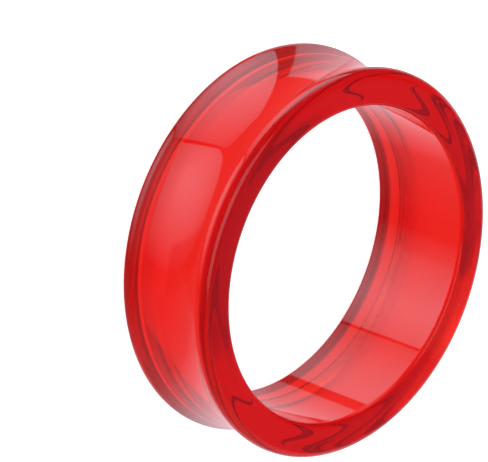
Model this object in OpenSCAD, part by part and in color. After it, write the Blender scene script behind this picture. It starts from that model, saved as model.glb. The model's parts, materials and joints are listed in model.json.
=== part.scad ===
/* [Tunnel] */
// Outside diameter of both flares
flare_d = 39.8; // [39:0.1:46]
// Diameter at the waist of the saddle, which is the gauge that the lobe sits on
waist_d = 38; // [36:0.25:38.5]
// Diameter of the straight bore
bore_d = 32.4; // [26:0.1:33.6]
// Length from face to face
overall_len = 11.9; // [10:0.1:16]

/* [Edges] */
// Rounding of the outer lip on each flare
lip_r = 1; // [0.6:0.1:1.2]
// Rounding where each face meets the bore
bore_edge_r = 0.4; // [0.1:0.05:0.6]
// Facets round the ring in the preview
ring_fn = 180; // [60:20:360]

/* [Hidden] */

flare_r = flare_d / 2;
waist_r = waist_d / 2;
bore_r = bore_d / 2;
mid_z = overall_len / 2;

// Centre of a lip's rounding: its distance from the axis, and its height above the near face
lip_x = flare_r - lip_r;
lip_z = lip_r;

// The saddle is one hollow arc that touches the waist and runs smoothly into both lips
lip_rise = mid_z - lip_z;
lip_reach = lip_x - waist_r;
saddle_r = (lip_rise * lip_rise + lip_reach * lip_reach - lip_r * lip_r) / (2 * (lip_r + lip_reach));
saddle_x = waist_r + saddle_r;

// Square-edged wall between the two faces, hollowed on the outside by the saddle
module wall_section() {
    difference() {
        union() {
            translate([bore_r, bore_edge_r])
                square([lip_x - bore_r, overall_len - 2 * bore_edge_r]);
            translate([bore_r + bore_edge_r, 0])
                square([lip_x - bore_r - bore_edge_r, overall_len]);
            polygon([
                [lip_x, lip_z],
                [saddle_x, mid_z],
                [lip_x, overall_len - lip_z]
            ]);
        }
        translate([saddle_x, mid_z])
            circle(r = saddle_r, $fn = ring_fn);
    }
}

// Round lip and round bore edge of the lower face
module edge_section() {
    translate([lip_x, lip_z])
        circle(r = lip_r, $fn = ring_fn / 2);
    translate([bore_r + bore_edge_r, bore_edge_r])
        circle(r = bore_edge_r, $fn = ring_fn / 4);
}

// The ring lies on its lower flare: its axis is upright and its lower face is at height 0
module tunnel() {
    color([0.86, 0.05, 0.07, 0.8])
        rotate_extrude($fn = ring_fn)
            union() {
                wall_section();
                edge_section();
                translate([0, overall_len])
                    mirror([0, 1])
                        edge_section();
            }
}

tunnel();
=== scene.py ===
import json
import logging
import math
from dataclasses import dataclass
from enum import Enum

import bpy
from mathutils import Matrix, Vector


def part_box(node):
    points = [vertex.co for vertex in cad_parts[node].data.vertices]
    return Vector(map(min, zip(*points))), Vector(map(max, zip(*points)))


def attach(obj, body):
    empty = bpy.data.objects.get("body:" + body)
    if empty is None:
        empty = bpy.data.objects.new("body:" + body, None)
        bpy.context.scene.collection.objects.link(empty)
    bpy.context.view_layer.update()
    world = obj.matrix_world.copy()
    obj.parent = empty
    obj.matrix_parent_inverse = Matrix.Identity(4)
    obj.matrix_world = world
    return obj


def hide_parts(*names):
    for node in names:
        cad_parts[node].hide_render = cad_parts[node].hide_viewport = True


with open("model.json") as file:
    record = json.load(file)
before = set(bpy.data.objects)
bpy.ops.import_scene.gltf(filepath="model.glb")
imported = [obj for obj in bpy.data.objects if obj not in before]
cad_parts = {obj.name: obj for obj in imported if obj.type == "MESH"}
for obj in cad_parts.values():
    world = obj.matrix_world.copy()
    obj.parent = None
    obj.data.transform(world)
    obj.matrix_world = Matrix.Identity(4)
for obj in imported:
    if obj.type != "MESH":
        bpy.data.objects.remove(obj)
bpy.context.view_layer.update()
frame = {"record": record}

MM = 0.001

# A point of the wall's section: its distance from the ring's axis and its height
Point = tuple[float, float]
# A place in the sky: its bearing and its elevation, in degrees
SkyPoint = tuple[float, float]
# The two ends of a range of numbers
Span = tuple[float, float]
# A light's red, green and blue, and a surface's with its alpha
Light = tuple[float, float, float]
Colour = tuple[float, float, float, float]
Socket = bpy.types.NodeSocket

log = logging.getLogger("tunnel")


class SocketName(Enum):
    """The shader sockets that the finishes set."""

    TINT = "Base Color"
    ROUGHNESS = "Roughness"
    IOR = "IOR"
    CLEARNESS = "Transmission Weight"
    NORMAL = "Normal"


class MixKind(Enum):
    """What a mix node blends, with the numbers of its two inputs and its output."""

    VECTOR = (4, 5, 1)
    RGBA = (6, 7, 2)


class LampTint(Enum):
    """The colours of the studio's lights."""

    COOL = (0.52, 1.0, 1.1)
    WARM = (1.0, 1.0, 1.04)


def deselect_all() -> None:
    """Leaves no object selected, so that an operator acts on the new piece alone."""
    for chosen in bpy.context.selected_objects:
        chosen.select_set(False)


def bearing_vector(bearing: float, elevation: float) -> Vector:
    """Turns a bearing and an elevation into a direction.

    Args:
        bearing: Degrees round +Z, from the camera's side (-Y) towards +X.
        elevation: Degrees above the table.

    Returns:
        The unit vector that points there.
    """
    turn = math.radians(bearing)
    rise = math.radians(elevation)
    return Vector((math.sin(turn) * math.cos(rise), -math.cos(turn) * math.cos(rise), math.sin(rise)))


def arc(centre: Point, radius: float, start: float, end: float, steps: int) -> list[Point]:
    """Lays points along an arc of the wall's section.

    Args:
        centre: The arc's centre.
        radius: The arc's radius.
        start: The angle of its first point, in radians from straight outwards.
        end: The angle of its last point.
        steps: How many parts it has.

    Returns:
        The points, with both ends.
    """
    points = []
    for step in range(steps + 1):
        turn = start + (end - start) * step / steps
        points.append((centre[0] + radius * math.cos(turn), centre[1] + radius * math.sin(turn)))
    return points


@dataclass(frozen=True)
class NodeWriter:
    """Adds nodes to one node tree and links them."""

    tree: bpy.types.NodeTree

    def add(self, kind: str, **settings: object) -> bpy.types.Node:
        """Adds a node and sets its properties.

        Args:
            kind: The node's type, such as ShaderNodeMath.
            settings: Properties of the node, by name.

        Returns:
            The new node.
        """
        node = self.tree.nodes.new(kind)
        for name, value in settings.items():
            setattr(node, name, value)
        return node

    def plug(self, source: object, target: Socket) -> None:
        """Links a socket, or sets a plain value, on an input.

        Args:
            source: An output socket, a number, a vector or a colour.
            target: The input that takes it.
        """
        if isinstance(source, Socket):
            self.tree.links.new(source, target)
        else:
            target.default_value = source

    def math(self, operation: str, *values: object) -> Socket:
        """Adds a math node.

        Args:
            operation: The operation, such as MULTIPLY.
            values: Its operands, sockets or numbers.

        Returns:
            The result's socket.
        """
        node = self.add("ShaderNodeMath", operation=operation)
        for value, target in zip(values, node.inputs):
            self.plug(value, target)
        return node.outputs[0]

    def chain(self, operation: str, values: list[Socket]) -> Socket:
        """Joins values by one operation, such as the sum of them all.

        Args:
            operation: The operation, such as ADD.
            values: The sockets that are joined, in order.

        Returns:
            The result's socket.
        """
        result = values[0]
        for value in values[1:]:
            result = self.math(operation, result, value)
        return result

    def noise(self, place: Socket, size: float, detail: float = 1.0) -> Socket:
        """Adds a noise texture.

        Args:
            place: The socket of the place that it is read at.
            size: The width of its blobs, in metres.
            detail: How many finer layers it has.

        Returns:
            The noise's socket, from 0 to 1 and mostly near a half.
        """
        node = self.add("ShaderNodeTexNoise")
        node.inputs["Scale"].default_value = 1 / size
        node.inputs["Detail"].default_value = detail
        self.plug(place, node.inputs["Vector"])
        return node.outputs["Fac"]

    def along(self, vector: Socket, axis: Vector) -> Socket:
        """Measures a vector along an axis.

        Args:
            vector: The vector's socket.
            axis: The fixed axis.

        Returns:
            The socket of their dot product.
        """
        node = self.add("ShaderNodeVectorMath", operation="DOT_PRODUCT")
        self.plug(vector, node.inputs[0])
        node.inputs[1].default_value = axis
        return node.outputs["Value"]

    def scaled(self, colour: object, amount: Socket) -> Socket:
        """Multiplies a colour by a number.

        Args:
            colour: The colour, or its socket.
            amount: The number's socket.

        Returns:
            The socket of the brighter or darker colour.
        """
        node = self.add("ShaderNodeVectorMath", operation="SCALE")
        self.plug(colour, node.inputs[0])
        self.plug(amount, node.inputs["Scale"])
        return node.outputs["Vector"]

    def mixed(self, share: Socket, first: object, second: object, kind: MixKind = MixKind.VECTOR) -> Socket:
        """Mixes two colours.

        Args:
            share: The socket of the second one's share, from 0 to 1.
            first: The first colour, or its socket.
            second: The second colour, or its socket.
            kind: Whether they are lights, which are vectors, or a surface's colours.

        Returns:
            The mix's socket.
        """
        first_input, second_input, result = kind.value
        node = self.add("ShaderNodeMix", data_type=kind.name)
        self.plug(share, node.inputs[0])
        self.plug(first, node.inputs[first_input])
        self.plug(second, node.inputs[second_input])
        return node.outputs[result]

    def brighter(self, first: object, second: object) -> Socket:
        """Takes the larger of two colours, channel by channel.

        Args:
            first: The first colour, or its socket.
            second: The second colour, or its socket.

        Returns:
            The result's socket.
        """
        node = self.add("ShaderNodeVectorMath", operation="MAXIMUM")
        self.plug(first, node.inputs[0])
        self.plug(second, node.inputs[1])
        return node.outputs["Vector"]

    def ramp(
        self,
        value: Socket,
        start: float,
        end: float,
        low: float = 0.0,
        high: float = 1.0,
        smooth: bool = False,
    ) -> Socket:
        """Maps a value from one range to another.

        Args:
            value: The value's socket.
            start: The value that gives low.
            end: The value that gives high.
            low: The result at start.
            high: The result at end.
            smooth: Whether the change eases in and out.

        Returns:
            The result's socket.
        """
        node = self.add("ShaderNodeMapRange", interpolation_type="SMOOTHSTEP" if smooth else "LINEAR")
        for number, target in zip((start, end, low, high), node.inputs[1:5]):
            target.default_value = number
        self.plug(value, node.inputs[0])
        return node.outputs[0]


@dataclass(frozen=True)
class SkyPatch:
    """A convex patch of the sky with straight edges, softened over the blur, in degrees."""

    name: str
    corners: tuple[SkyPoint, ...]
    blur: float

    def cover(self, writer: NodeWriter, direction: Socket) -> Socket:
        """Adds the patch's cover by direction.

        Args:
            writer: The writer for the world's node tree.
            direction: The socket of the direction that is looked along.

        Returns:
            The socket of a number that is 1 inside the patch and 0 outside it.
        """
        middle = sum((bearing_vector(*corner) for corner in self.corners), Vector())
        softness = math.radians(self.blur) / 2
        edges = []
        for corner, following in zip(self.corners, self.corners[1:] + self.corners[:1]):
            inward = bearing_vector(*corner).cross(bearing_vector(*following)).normalized()
            if inward.dot(middle) < 0:
                inward.negate()
            edges.append(writer.ramp(writer.along(direction, inward), -softness, softness, smooth=True))
        return writer.chain("MULTIPLY", edges)


@dataclass(frozen=True)
class LightPanel(SkyPatch):
    """A soft light. Its level at the hot spot falls to nothing over the fade, in degrees."""

    hot_spot: SkyPoint
    level: float
    fade: float
    tint: LampTint = LampTint.COOL

    def write(self, writer: NodeWriter, direction: Socket) -> Socket:
        """Adds the panel's light by direction.

        Args:
            writer: The writer for the world's node tree.
            direction: The socket of the direction that is looked along.

        Returns:
            The socket of the panel's colour, black outside it.
        """
        toward_spot = writer.along(direction, bearing_vector(*self.hot_spot))
        angle = writer.math("ARCCOSINE", writer.math("MINIMUM", toward_spot, 1.0))
        brightness = writer.ramp(angle, 0.0, math.radians(self.fade), self.level, 0.0)
        shown = writer.math("MULTIPLY", brightness, self.cover(writer, direction))
        return writer.scaled(self.tint.value, shown)


@dataclass(frozen=True)
class DarkCard(SkyPatch):
    """A dark card that stands in front of the light. Its share of one hides all that is behind it."""

    share: float
    tone: Light = (0.0, 0.0, 0.0)

    def hide(self, writer: NodeWriter, direction: Socket, light: object) -> Socket:
        """Puts the card's own tone in place of the light behind it.

        Args:
            writer: The writer for the world's node tree.
            direction: The socket of the direction that is looked along.
            light: The socket of the light's colour.

        Returns:
            The socket of the colour that is seen.
        """
        hidden = writer.math("MULTIPLY", self.cover(writer, direction), self.share)
        return writer.mixed(hidden, light, self.tone)


@dataclass(frozen=True)
class StudioLight:
    """The soft light all round the ring, and the overhead light on the table.

    The fills are the even light from the room above, from the table, and from the table below the ring.
    One gives way to the next over a span of heights, from 1 straight up to -1 straight down. The sun's
    width is in degrees.
    """

    high_fill: Light = (0.7, 0.08, 0.14)
    low_fill: Light = (0.97, 0.16, 0.16)
    near_fill: Light = (0.62, 0.13, 0.13)
    horizon_span: Span = (0.1, -0.3)
    near_span: Span = (-0.7, -0.97)
    sun_strength: float = 0.9
    sun_width: float = 70.0
    panels: tuple[LightPanel, ...] = (
        LightPanel(
            name="left_box",
            corners=((-107, -1), (-29.7, 1), (-48.5, -56), (-87, -57.5), (-104.5, -22)),
            blur=1.2,
            hot_spot=(-77, -6),
            level=3.7,
            fade=62,
        ),
        LightPanel(
            name="left_glow",
            corners=((-105, 0), (-55, 0), (-65, 22), (-95, 22)),
            blur=5,
            hot_spot=(-80, -2),
            level=1.9,
            fade=36,
            tint=LampTint.WARM,
        ),
        LightPanel(
            name="front_box",
            corners=((-30.1, -10.8), (42, -10.8), (46, -70), (-28, -70), (-42.5, -58), (-42.3, -49)),
            blur=1.2,
            hot_spot=(-14, -34),
            level=2.8,
            fade=47,
        ),
        LightPanel(
            name="front_card",
            corners=((-31, 0), (60, 0), (60, -12), (-31, -12)),
            blur=3,
            hot_spot=(-13, -14),
            level=0.75,
            fade=62,
        ),
        LightPanel(
            name="left_card",
            corners=((-170, -8), (-121, -17), (-108, -41), (-150, -52)),
            blur=2,
            hot_spot=(-120, -20),
            level=1.1,
            fade=100,
        ),
        LightPanel(
            name="right_card",
            corners=((26, -6), (152, 0), (152, -55), (33, -50)),
            blur=8,
            hot_spot=(110, -26),
            level=0.55,
            fade=90,
        ),
        LightPanel(
            name="right_corner",
            corners=((95, -10), (175, -8), (175, -58), (95, -53)),
            blur=7,
            hot_spot=(146, -23),
            level=1.25,
            fade=58,
        ),
        LightPanel(
            name="far_card",
            corners=((152, 14), (-150, 12), (-140, -80), (140, -80)),
            blur=10,
            hot_spot=(176, -14),
            level=1.3,
            fade=56,
        ),
        LightPanel(
            name="top_box",
            corners=((-80, 60), (-40, 55), (44, 52), (90, 70), (180, 76), (-150, 72)),
            blur=5,
            hot_spot=(-10, 77),
            level=1.8,
            fade=50,
        ),
        LightPanel(
            name="upper_card",
            corners=((66, -3), (178, 0), (175, 60), (67, 65)),
            blur=8,
            hot_spot=(150, 10),
            level=0.5,
            fade=110,
        ),
    )
    cards: tuple[DarkCard, ...] = (
        DarkCard(
            name="back_card",
            corners=((152, 19), (-168, 19), (-160, 45), (-158, 61), (143, 61), (144, 45)),
            blur=5,
            share=1.0,
            tone=(0.4, 0.15, 0.23),
        ),
        DarkCard(
            name="side_card",
            corners=((-158, 29), (-122, 33), (-122, 42), (-158, 39)),
            blur=4,
            share=0.5,
        ),
        DarkCard(
            name="floor_card",
            corners=((24, -40), (56, -38), (60, -74), (12, -74)),
            blur=6,
            share=0.45,
        ),
        DarkCard(
            name="right_shade",
            corners=((55, -28), (105, -30), (110, -62), (60, -70)),
            blur=8,
            share=0.3,
        ),
    )

    def build(self) -> None:
        """Writes the panels and cards into the world and adds the light on the table."""
        world = bpy.data.worlds.new("studio")
        bpy.context.scene.world = world
        world.use_nodes = True
        writer = NodeWriter(world.node_tree)
        world.node_tree.nodes.clear()
        direction = writer.add("ShaderNodeTexCoord").outputs["Generated"]
        seen = self.fill(writer, writer.along(direction, Vector((0.0, 0.0, 1.0))))
        for panel in self.panels:
            seen = writer.brighter(seen, panel.write(writer, direction))
            log.info("light panel: %s", panel.name)
        for card in self.cards:
            seen = card.hide(writer, direction, seen)
            log.info("dark card: %s", card.name)
        background = writer.add("ShaderNodeBackground")
        output = writer.add("ShaderNodeOutputWorld")
        writer.plug(seen, background.inputs["Color"])
        writer.plug(background.outputs[0], output.inputs["Surface"])
        self.add_sun()

    def fill(self, writer: NodeWriter, height: Socket) -> Socket:
        """Blends the even light from above into the light that the table throws back.

        Args:
            writer: The writer for the world's node tree.
            height: The socket of the direction's height, -1 to 1.

        Returns:
            The socket of the fill's colour.
        """
        near = writer.ramp(height, *self.near_span, smooth=True)
        below = writer.ramp(height, *self.horizon_span, smooth=True)
        return writer.mixed(below, self.high_fill, writer.mixed(near, self.low_fill, self.near_fill))

    def add_sun(self) -> None:
        """Adds the wide overhead light, which only the table takes."""
        sun = bpy.data.lights.new("overhead", "SUN")
        sun.energy = self.sun_strength
        sun.angle = math.radians(self.sun_width)
        lamp = bpy.data.objects.new("overhead", sun)
        lamp.visible_glossy = False
        lamp.visible_transmission = False
        bpy.context.scene.collection.objects.link(lamp)


@dataclass(frozen=True)
class TableFinish:
    """A white table lit from within, so that shadows on it stay faint."""

    name: str = "pale_table"
    glow: float = 0.72
    paper: Colour = (0.8, 0.8, 0.8, 1.0)
    grain_size: float = 1.1 * MM
    grain_depth: float = 0.1 * MM
    grain_strength: float = 0.02

    def material(self) -> bpy.types.Material:
        """Makes the table's material.

        Returns:
            The material.
        """
        made = bpy.data.materials.new(self.name)
        made.use_nodes = True
        writer = NodeWriter(made.node_tree)
        made.node_tree.nodes.clear()
        place = writer.add("ShaderNodeTexCoord").outputs["Object"]
        bump = writer.add("ShaderNodeBump")
        bump.inputs["Strength"].default_value = self.grain_strength
        bump.inputs["Distance"].default_value = self.grain_depth
        writer.plug(writer.noise(place, self.grain_size, detail=2.0), bump.inputs["Height"])
        surface = writer.add("ShaderNodeBsdfDiffuse")
        surface.inputs["Color"].default_value = self.paper
        writer.plug(bump.outputs[0], surface.inputs["Normal"])
        glow = writer.add("ShaderNodeEmission")
        glow.inputs["Strength"].default_value = self.glow
        both = writer.add("ShaderNodeAddShader")
        writer.plug(surface.outputs[0], both.inputs[0])
        writer.plug(glow.outputs[0], both.inputs[1])
        output = writer.add("ShaderNodeOutputMaterial")
        writer.plug(both.outputs[0], output.inputs["Surface"])
        return made


@dataclass(frozen=True)
class Table:
    """A wide round table whose edge turns up into the backdrop."""

    flat_radius: float = 2.0
    bend_radius: float = 1.0
    wall_height: float = 3.0
    sides: int = 96
    bend_steps: int = 10

    def build(self) -> bpy.types.Object:
        """Models the table and its backdrop as one sweep.

        Returns:
            The table.
        """
        deselect_all()
        bpy.ops.mesh.primitive_circle_add(vertices=self.sides, radius=self.flat_radius, fill_type="NGON")
        table = bpy.context.object
        table.name = "table"
        bpy.ops.object.mode_set(mode="EDIT")
        bpy.ops.mesh.select_all(action="SELECT")
        bpy.ops.mesh.normals_make_consistent(inside=False)
        width = self.flat_radius
        height = 0.0
        for step in range(1, self.bend_steps + 1):
            turn = math.pi / 2 * step / self.bend_steps
            wider = self.flat_radius + self.bend_radius * math.sin(turn)
            higher = self.bend_radius * (1 - math.cos(turn))
            self.extrude_rim(wider / width, higher - height)
            width = wider
            height = higher
        self.extrude_rim(1.0, self.wall_height - height)
        bpy.ops.object.mode_set(mode="OBJECT")
        bpy.ops.object.shade_smooth()
        table.data.materials.append(TableFinish().material())
        table.visible_glossy = False
        table.visible_transmission = False
        return table

    def extrude_rim(self, scale: float, rise: float) -> None:
        """Extrudes the outermost edges of the selection outwards and up.

        Args:
            scale: How many times wider the new rim is.
            rise: How far it lies above the old one.
        """
        bpy.ops.mesh.select_mode(type="EDGE")
        bpy.ops.mesh.region_to_loop()
        bpy.ops.mesh.extrude_edges_move()
        bpy.ops.transform.resize(value=(scale, scale, 1.0), center_override=(0.0, 0.0, 0.0))
        bpy.ops.transform.translate(value=(0.0, 0.0, rise))


@dataclass(frozen=True)
class Wave:
    """One layer of relief in a polished surface: the width of its waves and their depth."""

    size: float
    depth: float


@dataclass(frozen=True)
class AcrylicFinish:
    """Clear red acrylic, polished, with the faint waves and marks that polishing leaves.

    Light takes on a tint at each surface that it crosses, and the passed colour on its way between them.
    """

    name: str = "red_acrylic"
    tint: Colour = (0.97, 0.031, 0.026, 1.0)
    deep_tint: Colour = (0.95, 0.023, 0.021, 1.0)
    passed_colour: Colour = (0.973, 0.83, 0.68, 1.0)
    density: float = 1000.0
    clearness: float = 0.95
    ior: float = 1.49
    roughness: Span = (0.01, 0.05)
    haze_size: float = 0.6 * MM
    haze_span: Span = (0.45, 0.75)
    streak_size: float = 6.0 * MM
    streak_span: Span = (0.3, 0.7)
    face_wave: Wave = Wave(size=5.5 * MM, depth=0.05 * MM)
    skin_wave: Wave = Wave(size=9.0 * MM, depth=0.006 * MM)
    turning_mark: Wave = Wave(size=0.3 * MM, depth=0.0001 * MM)
    face_edge: float = 0.35 * MM

    def material(self, middle: float) -> bpy.types.Material:
        """Makes the acrylic's material.

        Args:
            middle: The height of the ring's middle, which tells its faces from its saddle.

        Returns:
            The material.
        """
        made = bpy.data.materials.new(self.name)
        made.use_nodes = True
        writer = NodeWriter(made.node_tree)
        made.node_tree.nodes.clear()
        place = writer.add("ShaderNodeTexCoord").outputs["Object"]
        surface = writer.add("ShaderNodeBsdfPrincipled")
        surface.inputs[SocketName.IOR.value].default_value = self.ior
        surface.inputs[SocketName.CLEARNESS.value].default_value = self.clearness
        writer.plug(self.dye(writer, place), surface.inputs[SocketName.TINT.value])
        writer.plug(self.haze(writer, place), surface.inputs[SocketName.ROUGHNESS.value])
        writer.plug(self.relief(writer, place, middle), surface.inputs[SocketName.NORMAL.value])
        body = writer.add("ShaderNodeVolumeAbsorption")
        body.inputs["Color"].default_value = self.passed_colour
        body.inputs["Density"].default_value = self.density
        output = writer.add("ShaderNodeOutputMaterial")
        writer.plug(surface.outputs[0], output.inputs["Surface"])
        writer.plug(body.outputs[0], output.inputs["Volume"])
        return made

    def dye(self, writer: NodeWriter, place: Socket) -> Socket:
        """Blends the two tints that the dye left in streaks.

        Args:
            writer: The writer for the material's node tree.
            place: The socket of the place on the ring.

        Returns:
            The colour's socket.
        """
        streaks = writer.ramp(writer.noise(place, self.streak_size, detail=2.0), *self.streak_span)
        return writer.mixed(streaks, self.tint, self.deep_tint, MixKind.RGBA)

    def haze(self, writer: NodeWriter, place: Socket) -> Socket:
        """Varies the gloss from bright to slightly dull in fine specks.

        Args:
            writer: The writer for the material's node tree.
            place: The socket of the place on the ring.

        Returns:
            The roughness's socket.
        """
        specks = writer.noise(place, self.haze_size, detail=3.0)
        return writer.ramp(specks, *self.haze_span, *self.roughness)

    def relief(self, writer: NodeWriter, place: Socket, middle: float) -> Socket:
        """Adds the waves and turning marks that polishing left, deepest on the flat faces.

        Args:
            writer: The writer for the material's node tree.
            place: The socket of the place on the ring.
            middle: The height of the ring's middle.

        Returns:
            The socket of the surface's direction.
        """
        axes = writer.add("ShaderNodeSeparateXYZ")
        writer.plug(place, axes.inputs[0])
        across, deep, upward = axes.outputs
        off_middle = writer.math("ABSOLUTE", writer.math("SUBTRACT", upward, middle))
        face_depth = writer.ramp(
            off_middle, middle - self.face_edge, middle, high=self.face_wave.depth, smooth=True
        )
        squares = [writer.math("MULTIPLY", axis, axis) for axis in (across, deep)]
        section = writer.add("ShaderNodeCombineXYZ")
        writer.plug(writer.math("SQRT", writer.chain("ADD", squares)), section.inputs[0])
        writer.plug(upward, section.inputs[2])
        marks = writer.noise(section.outputs[0], self.turning_mark.size, detail=2.0)
        layers = [
            writer.math("MULTIPLY", writer.noise(place, self.face_wave.size), face_depth),
            writer.math("MULTIPLY", writer.noise(place, self.skin_wave.size), self.skin_wave.depth),
            writer.math("MULTIPLY", marks, self.turning_mark.depth),
        ]
        bump = writer.add("ShaderNodeBump")
        bump.inputs["Strength"].default_value = 1.0
        bump.inputs["Distance"].default_value = 1.0
        writer.plug(writer.chain("ADD", layers), bump.inputs["Height"])
        return bump.outputs[0]


@dataclass(frozen=True)
class WallSection:
    """The section of the ring's wall, with heights from its middle.

    The faces are flat in the middle and lean down towards both borders, which bends the lines seen in them.
    The lean is the slope at the borders, in degrees. The guard keeps the bore's loops clear of its edge.
    """

    flare_r: float
    waist_r: float
    bore_r: float
    length: float
    bore_edge_r: float
    lip_r: float = 1.0 * MM
    face_lean: float = 18.0
    face_power: int = 4
    guard: float = 0.02 * MM
    bore_steps: int = 9
    edge_steps: int = 12
    face_steps: int = 20
    lip_steps: int = 36
    saddle_steps: int = 64

    @property
    def middle(self) -> float:
        """Half the ring's length."""
        return self.length / 2

    @property
    def lip_x(self) -> float:
        """Distance of the lip's centre from the axis."""
        return self.flare_r - self.lip_r

    @property
    def edge_x(self) -> float:
        """Distance of the bore edge's centre from the axis."""
        return self.bore_r + self.bore_edge_r

    @property
    def lean(self) -> float:
        """The face's slope at its borders, in radians."""
        return math.radians(self.face_lean)

    @property
    def face_start(self) -> float:
        """Distance of the face's inner border from the axis."""
        return self.edge_x - self.bore_edge_r * math.sin(self.lean)

    @property
    def face_half(self) -> float:
        """Half the face's width."""
        return (self.lip_x + self.lip_r * math.sin(self.lean) - self.face_start) / 2

    @property
    def face_drop(self) -> float:
        """How far the face's borders lie below its middle."""
        return self.face_half * math.tan(self.lean) / self.face_power

    @property
    def edge_z(self) -> float:
        """Height of the bore edge's centre."""
        return self.middle - self.face_drop - self.bore_edge_r * math.cos(self.lean)

    @property
    def lip_z(self) -> float:
        """Height of the lip's centre."""
        return self.middle - self.face_drop - self.lip_r * math.cos(self.lean)

    @property
    def saddle_r(self) -> float:
        """Radius of the hollow arc that touches the waist and runs smoothly into both lips."""
        reach = self.lip_x - self.waist_r
        return (self.lip_z**2 + reach**2 - self.lip_r**2) / (2 * (self.lip_r + reach))

    @property
    def saddle_turn(self) -> float:
        """Half the angle of the saddle's arc, in radians."""
        return math.asin(self.lip_z / (self.saddle_r + self.lip_r))

    def bore(self) -> list[Point]:
        """Points from the middle of the bore to just below its upper edge."""
        top = self.edge_z - self.guard
        return [(self.bore_r, top * step / self.bore_steps) for step in range(self.bore_steps + 1)]

    def bore_edge(self) -> list[Point]:
        """Points round the bore's upper edge."""
        centre = (self.edge_x, self.edge_z)
        return arc(centre, self.bore_edge_r, math.pi, math.pi / 2 + self.lean, self.edge_steps)

    def face(self) -> list[Point]:
        """Lays points across the upper face.

        Returns:
            The points, from the bore outwards, without the face's borders.
        """
        points = []
        for step in range(1, self.face_steps):
            share = 2 * step / self.face_steps - 1
            x = self.face_start + self.face_half * (1 + share)
            points.append((x, self.middle - self.face_drop * abs(share) ** self.face_power))
        return points

    def lip(self) -> list[Point]:
        """Points round the upper lip, down to where the saddle starts."""
        centre = (self.lip_x, self.lip_z)
        return arc(centre, self.lip_r, math.pi / 2 - self.lean, -self.saddle_turn, self.lip_steps)

    def saddle(self) -> list[Point]:
        """Lays points down the saddle.

        Returns:
            The points, from the upper lip to the lower one, without the saddle's ends.
        """
        centre = (self.waist_r + self.saddle_r, 0.0)
        start = math.pi - self.saddle_turn
        end = math.pi + self.saddle_turn
        return arc(centre, self.saddle_r, start, end, self.saddle_steps)[1:-1]

    def outline(self) -> list[Point]:
        """Lays out the whole section, from the middle of the bore over the upper face and round.

        Returns:
            The points in order, with heights above the table. The last joins the first.
        """
        upper = self.bore() + self.bore_edge() + self.face() + self.lip()
        lower = [(x, -z) for x, z in reversed(upper[1:])]
        return [(x, z + self.middle) for x, z in upper + self.saddle() + lower]


@dataclass(frozen=True)
class TunnelRing:
    """The ring: a straight bore, two flat faces, rounded lips and a hollow saddle between them."""

    section: WallSection
    sides: int = 360
    weld: float = 0.0001 * MM

    @classmethod
    def from_frame(cls) -> "TunnelRing":
        """Takes the ring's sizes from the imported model.

        Returns:
            The ring, at the CAD model's size.
        """
        low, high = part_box("tunnel")
        mounts = {mount["name"]: mount["dims"] for mount in frame["record"]["mounts"]}
        length = high.z - low.z
        section = WallSection(
            flare_r=(high.x - low.x) / 2,
            waist_r=mounts["lobe_seat"]["r_mm"] * MM,
            bore_r=mounts["bore"]["r_mm"] * MM,
            length=length,
            bore_edge_r=(length - mounts["bore"]["length_mm"] * MM) / 2,
        )
        return cls(section)

    def build(self) -> bpy.types.Object:
        """Models the ring by extruding a circle along the section, then closing it.

        Returns:
            The finished ring.
        """
        points = self.section.outline()
        radius, height = points[0]
        deselect_all()
        bpy.ops.mesh.primitive_circle_add(
            vertices=self.sides, radius=radius, fill_type="NOTHING", location=(0.0, 0.0, height)
        )
        ring = bpy.context.object
        ring.name = "tunnel_ring"
        bpy.ops.object.transform_apply(location=True, rotation=True, scale=True)
        bpy.ops.object.mode_set(mode="EDIT")
        bpy.ops.mesh.select_mode(type="EDGE")
        bpy.ops.mesh.select_all(action="SELECT")
        for before, point in zip(points, points[1:]):
            self.extrude_loop(before, point)
        self.close_wall()
        bpy.ops.object.mode_set(mode="OBJECT")
        bpy.ops.object.shade_smooth()
        return ring

    def extrude_loop(self, before: Point, point: Point) -> None:
        """Extrudes the selected loop to the section's next point.

        Args:
            before: The point that the loop is at.
            point: The point that the new loop goes to.
        """
        scale = point[0] / before[0]
        bpy.ops.mesh.extrude_edges_move()
        bpy.ops.transform.resize(value=(scale, scale, 1.0), center_override=(0.0, 0.0, before[1]))
        bpy.ops.transform.translate(value=(0.0, 0.0, point[1] - before[1]))

    def close_wall(self) -> None:
        """Bridges the last loop to the first, merges doubles and points all faces outwards."""
        bpy.ops.mesh.select_all(action="DESELECT")
        bpy.ops.mesh.select_mode(type="EDGE")
        bpy.ops.mesh.select_non_manifold(
            extend=False, use_wire=False, use_boundary=True, use_multi_face=False
        )
        bpy.ops.mesh.bridge_edge_loops()
        bpy.ops.mesh.select_all(action="SELECT")
        bpy.ops.mesh.remove_doubles(threshold=self.weld)
        bpy.ops.mesh.normals_make_consistent(inside=False)

    def dress(self, ring: bpy.types.Object) -> None:
        """Gives the ring its finish and its place in the part.

        Args:
            ring: The finished ring.
        """
        ring.data.materials.append(AcrylicFinish().material(self.section.middle))
        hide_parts("tunnel")
        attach(ring, "root")


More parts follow.
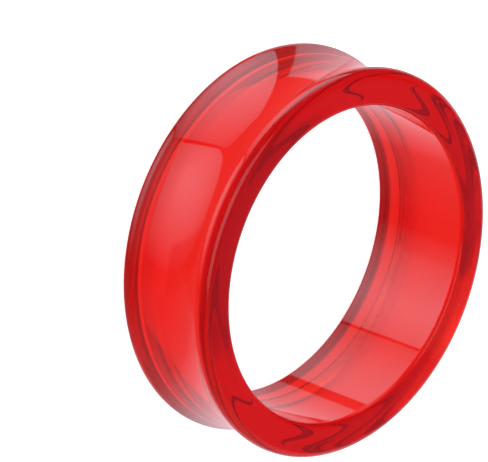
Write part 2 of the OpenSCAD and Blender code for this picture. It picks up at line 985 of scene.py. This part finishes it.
@dataclass(frozen=True)
class Viewpoint:
    """The camera, at the photograph's angle to the ring, with its angles in degrees."""

    image_width: int = 488
    focal_pixels: float = 6000.0
    sensor_width: float = 36.0
    tilt: float = 48.27
    roll: float = 20.1
    offset_right: float = 6.16 * MM
    offset_up: float = -1.91 * MM
    distance: float = 594.3 * MM
    far_limit: float = 20.0

    def build(self, target: Vector) -> bpy.types.Object:
        """Places the camera.

        Args:
            target: The middle of the ring.

        Returns:
            The camera.
        """
        tilt = math.radians(self.tilt)
        roll = math.radians(self.roll)
        toward = Vector((0.0, -math.sin(tilt), math.cos(tilt)))
        flat = Vector((0.0, math.cos(tilt), math.sin(tilt)))
        aside = toward.cross(flat)
        right = flat * math.cos(roll) + aside * math.sin(roll)
        up = toward.cross(right)
        place = target - right * self.offset_right - up * self.offset_up + toward * self.distance
        camera = bpy.data.cameras.new("camera")
        camera.sensor_width = self.sensor_width
        camera.lens = self.focal_pixels / self.image_width * self.sensor_width
        camera.clip_end = self.far_limit
        holder = bpy.data.objects.new("camera", camera)
        axes = Matrix((right, up, toward)).transposed().to_4x4()
        holder.matrix_world = Matrix.Translation(place) @ axes
        bpy.context.scene.collection.objects.link(holder)
        bpy.context.scene.camera = holder
        return holder


@dataclass(frozen=True)
class LightPaths:
    """Plain colour management, and enough bounces for light to pass clear acrylic."""

    bounces: int = 32
    glossy_bounces: int = 24

    def apply(self) -> None:
        """Sets them on the scene."""
        scene = bpy.context.scene
        scene.view_settings.view_transform = "Standard"
        scene.view_settings.look = "None"
        scene.cycles.max_bounces = self.bounces
        scene.cycles.transmission_bounces = self.bounces
        scene.cycles.glossy_bounces = self.glossy_bounces
        scene.cycles.caustics_reflective = True
        scene.cycles.caustics_refractive = True
        scene.cycles.blur_glossy = 0.0
        scene.cycles.use_denoising = True


def main() -> None:
    """Builds the ring, the table, the light and the camera."""
    logging.basicConfig(level=logging.INFO, format="%(message)s")
    tunnel = TunnelRing.from_frame()
    ring = tunnel.build()
    tunnel.dress(ring)
    log.info("%s: %d faces", ring.name, len(ring.data.polygons))
    table = Table().build()
    log.info("%s: %d faces", table.name, len(table.data.polygons))
    StudioLight().build()
    camera = Viewpoint().build(Vector((0.0, 0.0, tunnel.section.middle)))
    log.info("%s: %.3f m from the table's middle", camera.name, camera.location.length)
    LightPaths().apply()


if __name__ == "__main__":
    main()
